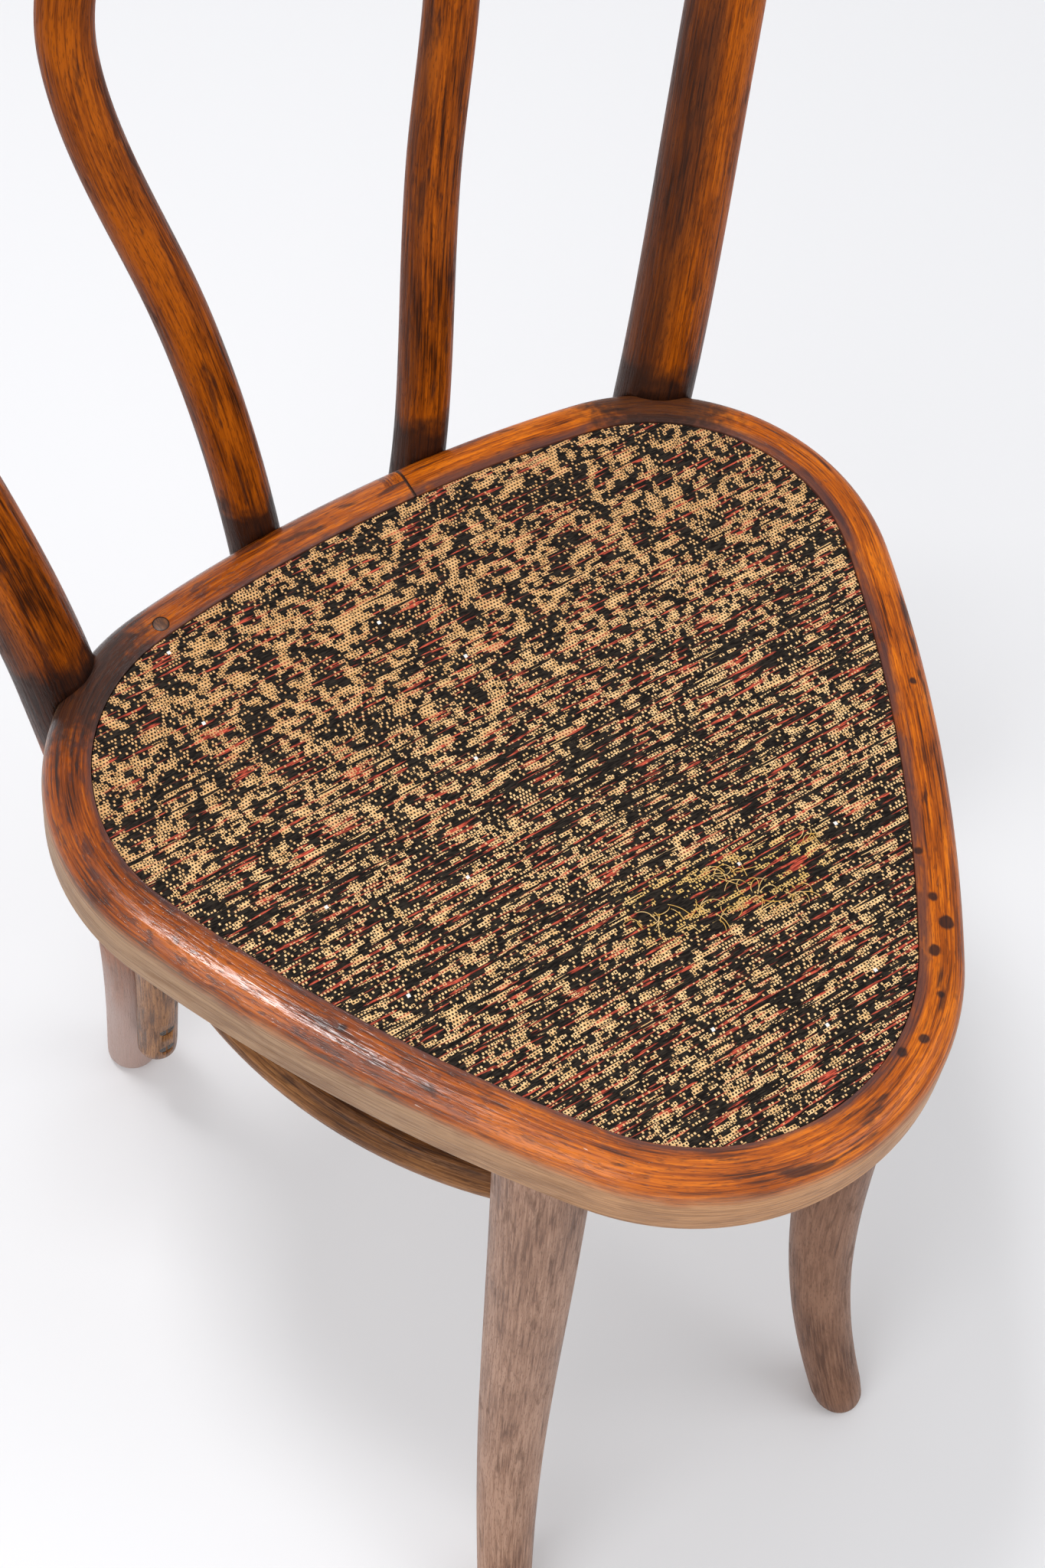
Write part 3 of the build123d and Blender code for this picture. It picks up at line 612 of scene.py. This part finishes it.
def peg(shape, radius, depth, sides, middle):
    """Adds a plain round peg, turned and placed by a matrix."""
    bmesh.ops.create_cone(
        shape, cap_ends=True, segments=sides, radius1=radius, radius2=radius, depth=depth, matrix=middle
    )


def head_seats(body, heads, radius):
    """Sinks round seats for the heads of screws or bolts on both sides: places, and the ways they face."""
    cutter = bmesh.new()
    for place, way in heads:
        for side in (-1, 1):
            face = Vector((side * place.x, place.y, place.z))
            out_way = Vector((side * way.x, way.y, way.z))
            turned = out_way.to_track_quat("Z", "Y").to_matrix().to_4x4()
            peg(cutter, radius, 2 * radius, 28, Matrix.Translation(face + out_way * radius) @ turned)
    cut_out(body, cutter)


def ring_blank():
    """The ring's outer form, a hair larger, for the notches of the rods that pass it."""
    outer, inner = ring_width + notch_gap, -0.012
    blank = [(outer, ring_under), (outer, seat_top), (inner, seat_top), (inner, ring_under)]
    return seat_sweep(blank, outer_rounds)


bow_seat = Vector((post_plan.x, post_plan.y, seat_top - 0.017))
bow_foot = Vector((post_plan.x - 0.0435, post_plan.y + 0.034, 0))
bow_shoulder = Vector((post_plan.x + 0.0415, post_plan.y + 0.045, seat_top + 0.170))
bow_crown = Vector((0, post_plan.y + 0.121, seat_top + 0.412))
arch_rise = bow_crown - Vector((0, bow_shoulder.y, bow_shoulder.z))
arch_radius = (bow_shoulder.x**2 + arch_rise.length_squared) / (2 * arch_rise.length)
arch_centre = bow_crown - arch_rise.normalized() * arch_radius
arch_axis = Vector((1, 0, 0)).cross(arch_rise).normalized()
arch_arm = bow_shoulder - arch_centre
arch_angle = arch_arm.angle(arch_rise)
shoulder_way = arch_axis.cross(arch_arm)
foot_way, seat_way = Vector((0.023, -0.104, 1)).normalized(), Vector((0.14, 0.10, 1)).normalized()
rear_leg_pulls = (bow_seat.z / 3, bow_seat.z / 3)
rear_leg_radii = (bow_foot_radius, bow_seat_radius)
post_pull = (bow_shoulder.z - bow_seat.z) / 3
post_pulls = (post_pull, post_pull)
post_radii = (bow_seat_radius, bow_shoulder_radius)
arch_radii = (bow_shoulder_radius, bow_crown_radius)
bow_stops = bend(bow_foot, foot_way, bow_seat, seat_way, rear_leg_pulls, rear_leg_radii, 60)
bow_stops = round_end(bow_foot, foot_way, bow_end_radius, foot_rim) + bow_stops[2:]
bow_stops += bend(bow_seat, seat_way, bow_shoulder, shoulder_way, post_pulls, post_radii, 30)
bow_stops += arch(arch_centre, arch_arm, arch_axis, arch_angle, arch_radii, 44)
bow_tones = (0.44, 0.1, 0.004), (0.24, 0.05, 0.003), (0.04, 0.01, 0.003)
bow_wood, tree, shader, grain, colour = shellac("bow_shellac", *bow_tones, gloss=0.12, marks=0.6, seed=5.0)
place = object_place(tree)
at_x, _, height = node(tree, "SeparateXYZ", {0: place}).outputs
# Dirt in the joint with the ring.
uneven = noise(tree, place, (1, 1, 1), 90, 2)
joint = ramp(tree, total(tree, (height, 1.0), (uneven, -0.03)), seat_top + 0.007, seat_top - 0.009)
joint = times(tree, joint, ramp(tree, height, seat_top - 0.06, seat_top - 0.04))
colour = stain(tree, colour, joint, 0.88, (0.016, 0.009, 0.008))
# Grime and painted shade above the seat, darkening one side of each rod.
wear = noise(tree, grain, (1, 1, 0.15), 70, 3, 0.3, 41.0)
around = node(tree, "SeparateXYZ", {0: grain}).outputs[1]
around = times(tree, around, total(tree, (ramp(tree, at_x, -0.01, 0.01), 2.0), (1.0, -1.0)))
grime_and_shade = ramp(tree, total(tree, (around, 1.0), (wear, 0.01)), 0.0115, 0.0195)
grime_and_shade = times(tree, grime_and_shade, ramp(tree, height, seat_top - 0.02, seat_top + 0.01))
grime_and_shade = times(tree, grime_and_shade, ramp(tree, height, 0.76, 0.62))
colour = stain(tree, colour, grime_and_shade, 0.72, (0.035, 0.016, 0.011))
# The legs lose their shellac downwards.
lowness = total(tree, (height, 1.0), (wear, 0.12))
colour = stain(tree, colour, ramp(tree, lowness, 0.47, 0.3), 0.6, (0.27, 0.14, 0.085))
colour = stain(tree, colour, ramp(tree, lowness, 0.27, 0.13), 0.85, (0.46, 0.33, 0.29))
tree.links.new(colour, shader.inputs["Base Color"])
back_bow = piece("bent_back_bow", bent_rod(mirror_stops(bow_stops)), bow_wood)
cut_out(back_bow, ring_blank())
bolt_height = (ring_under + ledge_top) / 2
bolt_at, bolt_rod, _ = at_height(bow_stops, bolt_height)
bolt_way = Vector((bolt_at.x - rear_centre.x, bolt_at.y - rear_centre.y, 0)).normalized()
head_seats(back_bow, [(bolt_at + bolt_way * sqrt(bolt_rod**2 - bolt_seat**2), bolt_way)], bolt_seat)
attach(back_bow, "root")
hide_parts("back_bow")


# Inner loop: a thinner beech rod, steamed and bent to a lyre shape, in the same shellac as the bow. Its two
# ends run down behind the ring, are hollowed to fit it and are screwed to it.
loop_end_radius, loop_waist_radius, loop_top_radius = 0.012, 0.0116, 0.01125
loop_rim = 0.0025
loop_half = 0.0405
screw_head, screw_seat = 0.00425, 0.0044
backward = Vector((0, 1, 0))
loop_face = back_centre.y + sqrt((back_radius + ring_width) ** 2 - loop_half**2)
loop_end = Vector((loop_half, loop_face + 0.0065, ring_under))
loop_waist = loop_end + Vector((0.0235, 0.0375, 0.163))
loop_widest = loop_end + Vector((0.0445, 0.069, 0.269))
loop_lean = Vector((0, 0.30, 1)).normalized()
loop_axis = Vector((1, 0, 0)).cross(loop_lean).normalized()
loop_centre = Vector((0, loop_widest.y, loop_widest.z))
loop_arm = Vector((loop_widest.x, 0, 0))
end_way, waist_way = Vector((0.12, 0.06, 1)), Vector((0.24, 0.33, 1))
end_pull = (loop_waist.z - loop_end.z) / 3
waist_pull = (loop_widest.z - loop_waist.z) / 3
end_radii = (loop_end_radius, loop_waist_radius)
waist_radii = (loop_waist_radius, loop_top_radius)
loop_stops = bend(loop_end, end_way, loop_waist, waist_way, (end_pull, end_pull), end_radii, 30)
loop_stops += bend(loop_waist, waist_way, loop_widest, loop_lean, (waist_pull, waist_pull), waist_radii, 24)
loop_stops += arch(loop_centre, loop_arm, loop_axis, pi / 2, (loop_top_radius, loop_top_radius), 36)
loop_stops = round_end(loop_end, end_way, loop_end_radius, loop_rim) + loop_stops[1:]
inner_loop = piece("bent_inner_loop", bent_rod(mirror_stops(loop_stops), 32), bow_wood)
cut_out(inner_loop, ring_blank())
loop_there = at_height(loop_stops, bolt_height)[0]
loop_head = loop_there + backward * sqrt(loop_end_radius**2 - screw_head**2)
head_seats(inner_loop, [(loop_head, backward)], screw_seat)
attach(inner_loop, "root")
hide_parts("inner_loop")


# Front legs: sabre legs of beech, turned to a taper, steamed and bent, their shellac worn to a dull brown.
# They stand face to face under the ring; how they are fixed is not seen. The left one is painted darker, as
# shade.
leg_end_radius, leg_foot_radius, leg_top_radius = 0.0131, 0.013, 0.021
leg_inset = 0.001
leg_x = 0.089
leg_reach = side_radius + ring_width - leg_inset - leg_top_radius
leg_top = Vector((leg_x, side_centre.y - sqrt(leg_reach**2 - (leg_x - side_centre.x) ** 2), ring_under))
leg_foot = Vector((leg_top.x + 0.017, leg_top.y - 0.057, 0))
leg_foot_way, leg_top_way = Vector((-0.153, 0.371, 1)).normalized(), Vector((0, 0.076, 1)).normalized()
leg_pulls = (ring_under / 3, ring_under * 0.46)
leg_radii = (leg_foot_radius, leg_top_radius)
leg_stops = bend(leg_foot, leg_foot_way, leg_top, leg_top_way, leg_pulls, leg_radii, 60)
leg_stops = round_end(leg_foot, leg_foot_way, leg_end_radius, foot_rim) + leg_stops[2:]
leg_stops.append((leg_top, leg_top_radius, Vector((0, 0, 1))))
leg_tones = (0.43, 0.255, 0.175), (0.31, 0.17, 0.11), (0.16, 0.08, 0.05)
leg_wood, tree, shader, _, colour = shellac("leg_shellac", *leg_tones, gloss=0.2, marks=0.3, seed=9.0)
at_x = node(tree, "SeparateXYZ", {0: object_place(tree)}).outputs[0]
# Painted shade: the left leg, on +X, is darkened towards brown.
colour = mix(tree, ramp(tree, at_x, -0.02, 0.02), colour, (0.66, 0.58, 0.52), "MULTIPLY")
tree.links.new(colour, shader.inputs["Base Color"])
for name, side in (("front_leg_left", 1), ("front_leg_right", -1)):
    leg_shape = bent_rod(leg_stops)
    if side < 0:
        bmesh.ops.scale(leg_shape, vec=(-1, 1, 1), verts=leg_shape.verts)
        bmesh.ops.recalc_face_normals(leg_shape, faces=leg_shape.faces)
    leg = piece("sabre_" + name, leg_shape, leg_wood)
    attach(leg, "root")
    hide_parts(name)


# Stretcher bow: a beech rod bent level inside the front legs and screwed to them, its ends turned down
# and screwed to the fronts of the rear legs.
rod_radius, rod_rim = 0.0105, 0.007
stretcher_height = seat_top - 0.129
run_low, run_high, run_gap = 0.069, 0.131, 0.0005
bend_drop, bend_gap, bend_pull = 0.065, 0.0025, 0.0358
screw_rises = (0.017, 0.045)
front_gap = 0.0003
front_angle = radians(47.5)
side_reach = 0.221
leg_there, leg_radius_there, _ = at_height(leg_stops, stretcher_height)
stretcher_centre = Vector((0, seat_y - 0.030, stretcher_height))
front_reach_there = (leg_there - stretcher_centre).length - leg_radius_there - rod_radius - front_gap


def by_rear_leg(height, gap):
    """Where the rod lies in front of a rear leg at a height, and the leg's direction there."""
    place, radius, way = at_height(bow_stops, height)
    forward = Vector((0, -1, 0))
    forward = (forward - way * forward.dot(way)).normalized()
    return place + forward * (radius + rod_radius + gap), way


turn_off = Vector((sin(front_angle), -cos(front_angle), 0))
side_middle = stretcher_centre + turn_off * (front_reach_there - side_reach)
side_arm = Vector((side_reach, 0, 0))
side_back = side_middle + side_arm
run_end = by_rear_leg(run_low, run_gap)[0]
run_top = by_rear_leg(run_high, run_gap)[0]
bend_end, bend_way = by_rear_leg(stretcher_height - bend_drop, bend_gap)
run_way = (run_top - run_end).normalized()
rise_pull = (bend_end - run_top).length / 3
radii = (rod_radius, rod_radius)
down = Vector((0, 0, -1))
stretcher_stops = round_end(run_end, run_way, rod_radius, rod_rim)
stretcher_stops.append((run_end.lerp(run_top, 0.2), rod_radius, None))
stretcher_stops += bend(run_top, run_way, bend_end, bend_way, (rise_pull, rise_pull), radii, 20)
stretcher_stops += bend(bend_end, bend_way, side_back, -backward, (bend_pull, bend_pull), radii, 24)
stretcher_stops += arch(side_middle, side_arm, down, pi / 2 - front_angle, radii, 24)[:-1]
stretcher_stops += arch(stretcher_centre, turn_off * front_reach_there, down, front_angle, radii, 24)
stretcher_tones = (0.36, 0.16, 0.055), (0.2, 0.08, 0.026), (0.06, 0.024, 0.011)
stretcher_wood = shellac("stretcher_shellac", *stretcher_tones, gloss=0.2, marks=0.5, seed=13.0)[0]
stretcher = piece("bent_stretcher_bow", bent_rod(mirror_stops(stretcher_stops), 32), stretcher_wood)
head_depth = sqrt(rod_radius**2 - screw_head**2)
leg_way = (leg_there - stretcher_centre).normalized()
heads = []
for rise in screw_rises:
    heads.append((at_height(stretcher_stops, run_low + rise)[0] - backward * head_depth, -backward))
heads.append((stretcher_centre + leg_way * (front_reach_there - head_depth), -leg_way))
head_seats(stretcher, heads, screw_seat)
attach(stretcher, "root")
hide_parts("stretcher_bow")


# Ring plug: a round wooden plug let into the ring's top beside one post and cut off level. The ends of the
# bent bar meet in a scarf joint that has opened to a fine groove.
plug_angle, plug_reach = radians(97), rear_radius + 0.006
plug_radius, plug_depth, plug_gap = 0.0035, 0.006, 0.00015
plug_x = cos(plug_angle) * plug_reach - rear_centre.x
plug_y = sin(plug_angle) * plug_reach + rear_centre.y
plug_top = Vector((plug_x, plug_y, seat_top))
plug_hole = bmesh.new()
peg(plug_hole, plug_radius + plug_gap, 2 * plug_depth, 40, Matrix.Translation(plug_top))
cut_out(seat_ring, plug_hole)
groove = bmesh.new()
groove_size = Matrix.Diagonal((0.0005, 0.024, 0.0012, 1))
groove_form = Matrix.Rotation(-atan2(scarf_way.x, scarf_way.y), 4, "Z") @ groove_size
groove_place = Matrix.Translation((scarf_middle.x, scarf_middle.y - 0.003, seat_top))
bmesh.ops.create_cube(groove, size=1, matrix=groove_place @ groove_form)
cut_out(seat_ring, groove)
plug_shape = bmesh.new()
peg(plug_shape, plug_radius, plug_depth, 40, Matrix.Translation(plug_top - Vector((0, 0, plug_depth / 2))))
plug_rim = [edge for edge in plug_shape.edges if all(vert.co.z > seat_top - 0.001 for vert in edge.verts)]
bmesh.ops.bevel(plug_shape, geom=plug_rim, offset=0.0004, segments=2, profile=0.5, affect="EDGES")
plug_wood, tree, shader = new_finish("plug_end_grain", roughness=0.45)
place = object_place(tree)
rings = noise(tree, place, (1, 0.2, 1), 1500, 2, 0.3)
colour = mix(tree, ramp(tree, rings, 0.35, 0.65), (0.07, 0.028, 0.014), (0.16, 0.062, 0.024))
from_middle = node(tree, "VectorMath", {0: place, 1: plug_top}, operation="DISTANCE").outputs["Value"]
colour = mix(tree, ramp(tree, from_middle, 0.0026, 0.0034), colour, (0.02, 0.012, 0.01))
tree.links.new(colour, shader.inputs["Base Color"])
plug = piece("wooden_ring_plug", plug_shape, plug_wood, 30)
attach(plug, "root")
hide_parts("ring_plug")


# Loose threads: ends of the cover's yellow warp yarn where it has worn through. They are still woven in at
# their roots, and stand up and curl.
worn_spots = [
    (-0.0105, -0.0875),
    (0.0084, -0.0957),
    (0.0206, -0.1),
    (0.0281, -0.0868),
    (0.0313, -0.1012),
    (0.0335, -0.0901),
    (0.0483, -0.1072),
    (0.0701, -0.0908),
]
threads_per_spot = 7
thread_parts = 8
thread_radius, thread_taper = 0.00021, 0.00001
thread_sunk = 0.0004
chances = Random(4)
threads_shape = bmesh.new()
for spot_x, spot_y in worn_spots:
    for _ in range(threads_per_spot):
        at = Vector((spot_x, seat_y + spot_y, cover_top - thread_sunk))
        at += Vector((chances.uniform(-0.006, 0.006), chances.uniform(-0.003, 0.003), 0))
        set_off, curl = chances.uniform(0, 2 * pi), chances.uniform(-2.5, 2.5)
        length, lift = chances.uniform(0.004, 0.011), chances.uniform(0.001, 0.0028)
        thread_stops = []
        for step in range(thread_parts + 1):
            raised = Vector((0, 0, lift * sin(pi * step / (thread_parts + 1))))
            thread_stops.append((at + raised, thread_radius - thread_taper * step, None))
            angle = set_off + curl * step / thread_parts
            at = at + Vector((cos(angle), sin(angle), 0)) * length / thread_parts
        bent_rod(thread_stops, 6, threads_shape)
thread_yarn, tree, shader = new_finish("yellow_yarn", roughness=0.8)
tint = noise(tree, object_place(tree), (1, 1, 1), 240, 1)
colour = mix(tree, ramp(tree, tint, 0.35, 0.65), (0.62, 0.36, 0.07), (0.72, 0.5, 0.22))
tree.links.new(colour, shader.inputs["Base Color"])
threads = piece("loose_threads", threads_shape, thread_yarn, 80)
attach(threads, "root")


# Seat board: a sheet of plywood in the ring's rebate that carries the felt and the cover. Screws up through
# the ledge hold it, and it is seen only from below.
def dress(name, material):
    """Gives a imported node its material."""
    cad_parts[name].data.materials.clear()
    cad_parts[name].data.materials.append(material)


board_wood, tree, shader = new_finish("board_plywood", roughness=0.7)
rays = noise(tree, object_place(tree), (0.06, 1, 1), 420, 3, 0.3)
colour = mix(tree, ramp(tree, rays, 0.35, 0.65), (0.3, 0.18, 0.09), (0.45, 0.3, 0.16))
tree.links.new(colour, shader.inputs["Base Color"])
dress("seat_board", board_wood)


# Fasteners: slotted screws, bolts with washers and nuts, and tacks of dark steel, dulled and a little rusted.
# The bolts hold the posts to the ring, the screws hold the loop, stretcher and board, the tacks the cover.
dark_steel, tree, shader = new_finish("aged_steel", metallic=0.9)
rust = noise(tree, object_place(tree), (1, 1, 1), 700, 3)
colour = mix(tree, ramp(tree, rust, 0.5, 0.7), (0.1, 0.095, 0.09), (0.09, 0.035, 0.015))
tree.links.new(colour, shader.inputs["Base Color"])
tree.links.new(ramp(tree, rust, 0.2, 0.9), shader.inputs["Roughness"])
steel_nodes = [
    "frame_bolts",
    "frame_washers",
    "frame_nuts",
    "loop_screws",
    "stretcher_front_screws",
    "stretcher_rear_screws",
    "board_screws",
    "cover_tacks",
]
for name in steel_nodes:
    dress(name, dark_steel)


# Studio: a pale floor in an even white room. A small ceiling light draws the shine along the ring, a large
# soft one stands on the sitter's right like a window, and another fills in from the front on the left.
floor_half = 6
room_strength = 0.61
lamp_aim = Vector((0, 0, 0.4))
floor_shape = bmesh.new()
bmesh.ops.create_grid(floor_shape, x_segments=1, y_segments=1, size=floor_half)
floor_paint = new_finish("floor_paint", base_color=(0.84, 0.845, 0.87, 1), roughness=0.9)[0]
floor = piece("studio_floor", floor_shape, floor_paint)
room = bpy.data.worlds.new("studio_room")
room.use_nodes = True
room.node_tree.nodes["Background"].inputs["Color"].default_value = (1, 1, 1, 1)
room.node_tree.nodes["Background"].inputs["Strength"].default_value = room_strength
bpy.context.scene.world = room
lamps = [
    ("ceiling_light", (-0.44, 0.38, 2.6), (0.37, 0.42), 25),
    ("window_light", (-1.74, -0.66, 1.65), (1.6, 1.6), 17),
    ("fill_light", (1.5, -1.5, 2.2), (1.8, 1.8), 18),
]
for name, spot, (wide, tall), watts in lamps:
    lamp = bpy.data.objects.new(name, bpy.data.lights.new(name, "AREA"))
    lamp.data.shape, lamp.data.size, lamp.data.size_y = "RECTANGLE", wide, tall
    lamp.data.energy = watts
    lamp.location = spot
    lamp.rotation_euler = (lamp_aim - lamp.location).to_track_quat("-Z", "Y").to_euler()
    bpy.context.scene.collection.objects.link(lamp)
bpy.context.scene.view_settings.view_transform = "Standard"


# Camera: above the sitter's right knee, looking down at the seat, turned a little clockwise. Its focal
# length, place and turns were worked out from the outline of the seat ring and the rods.
focal_pixels, frame_pixels = 4159.85, 2048
camera_distance = 1.31205
round_turn, down_turn, roll_turn = radians(-41.3145), radians(90 - 58.3814), radians(9.0585)
camera = bpy.data.objects.new("camera", bpy.data.cameras.new("camera"))
camera.data.sensor_width = 36
camera.data.lens = camera.data.sensor_width * focal_pixels / frame_pixels
aim = Vector((-0.018404, seat_y - 0.008248, seat_top))
turn = Matrix.Rotation(round_turn, 4, "Z")
turn @= Matrix.Rotation(down_turn, 4, "X") @ Matrix.Rotation(roll_turn, 4, "Z")
camera.matrix_world = Matrix.Translation(aim) @ turn @ Matrix.Translation((0, 0, camera_distance))
bpy.context.scene.collection.objects.link(camera)
bpy.context.scene.camera = camera
